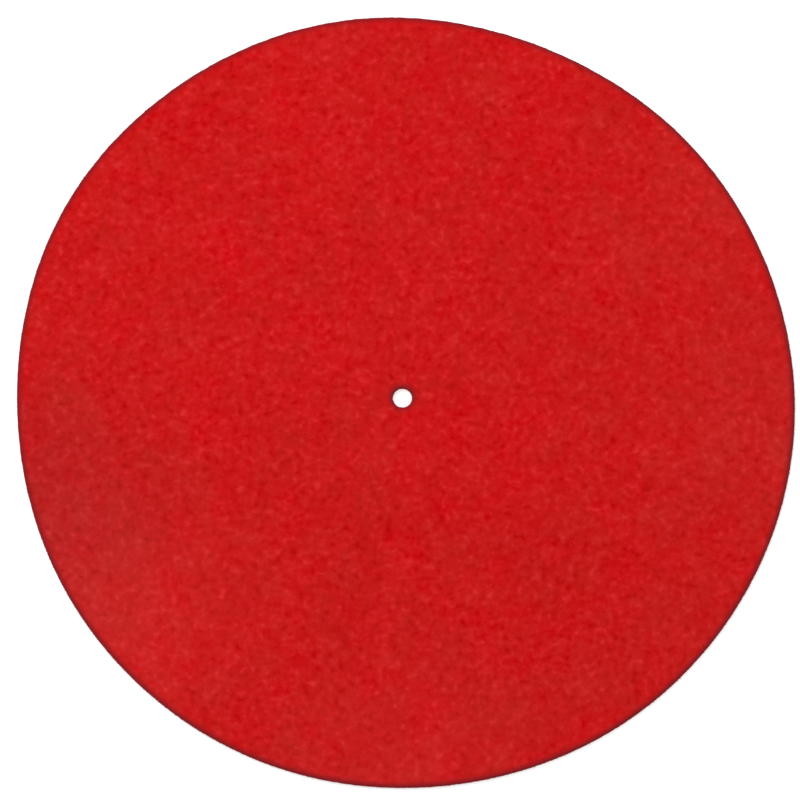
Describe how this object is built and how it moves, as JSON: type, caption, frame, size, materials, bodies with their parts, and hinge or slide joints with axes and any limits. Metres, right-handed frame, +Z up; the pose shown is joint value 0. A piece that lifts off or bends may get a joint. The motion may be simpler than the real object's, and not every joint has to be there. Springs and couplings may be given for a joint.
{
  "type": "turntable platter mat",
  "caption": "Round red felt mat for a turntable platter, with a punched centre hole that drops over the spindle.",
  "frame": {"origin": "middle of the centre hole, on the underside", "axes": "+Z up along the hole's axis, towards the side that the record lies on; the disc is round, so +X and +Y are alike"},
  "size_m": [0.3, 0.3, 0.003],
  "materials": {
    "red_felt": "matte"
  },
  "bodies": {
    "root": {"felt_mat": "red_felt"}
  },
  "joints": []
}
